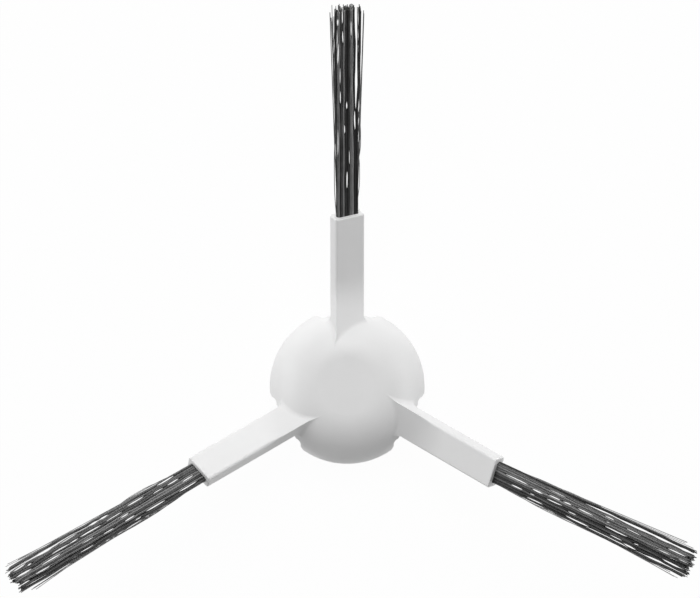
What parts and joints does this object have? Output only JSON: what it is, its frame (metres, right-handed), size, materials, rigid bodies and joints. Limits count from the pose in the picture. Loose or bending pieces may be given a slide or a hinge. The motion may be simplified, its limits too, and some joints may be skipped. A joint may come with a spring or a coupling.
{
  "type": "robot vacuum side brush",
  "caption": "Side brush of a robot vacuum: a white domed hub that pushes onto a square drive post, with rolled, upswept hollow arms that each hold a tuft of dark nylon bristles.",
  "frame": {"origin": "on the hub's axis in the plane of the hub's rim, at the mouth of the drive socket", "axes": "+Z along the axis that the brush turns about, from the drive socket to the crown; +Y along the first arm"},
  "size_m": [0.1409, 0.1216, 0.0461],
  "materials": {
    "white_plastic": "satin moulded white plastic",
    "bristle_nylon": "dark grey nylon filament"
  },
  "bodies": {
    "root": {"brush_hub": "white_plastic", "bristle_tuft_1": "bristle_nylon", "bristle_tuft_2": "bristle_nylon", "bristle_tuft_3": "bristle_nylon"}
  },
  "joints": []
}
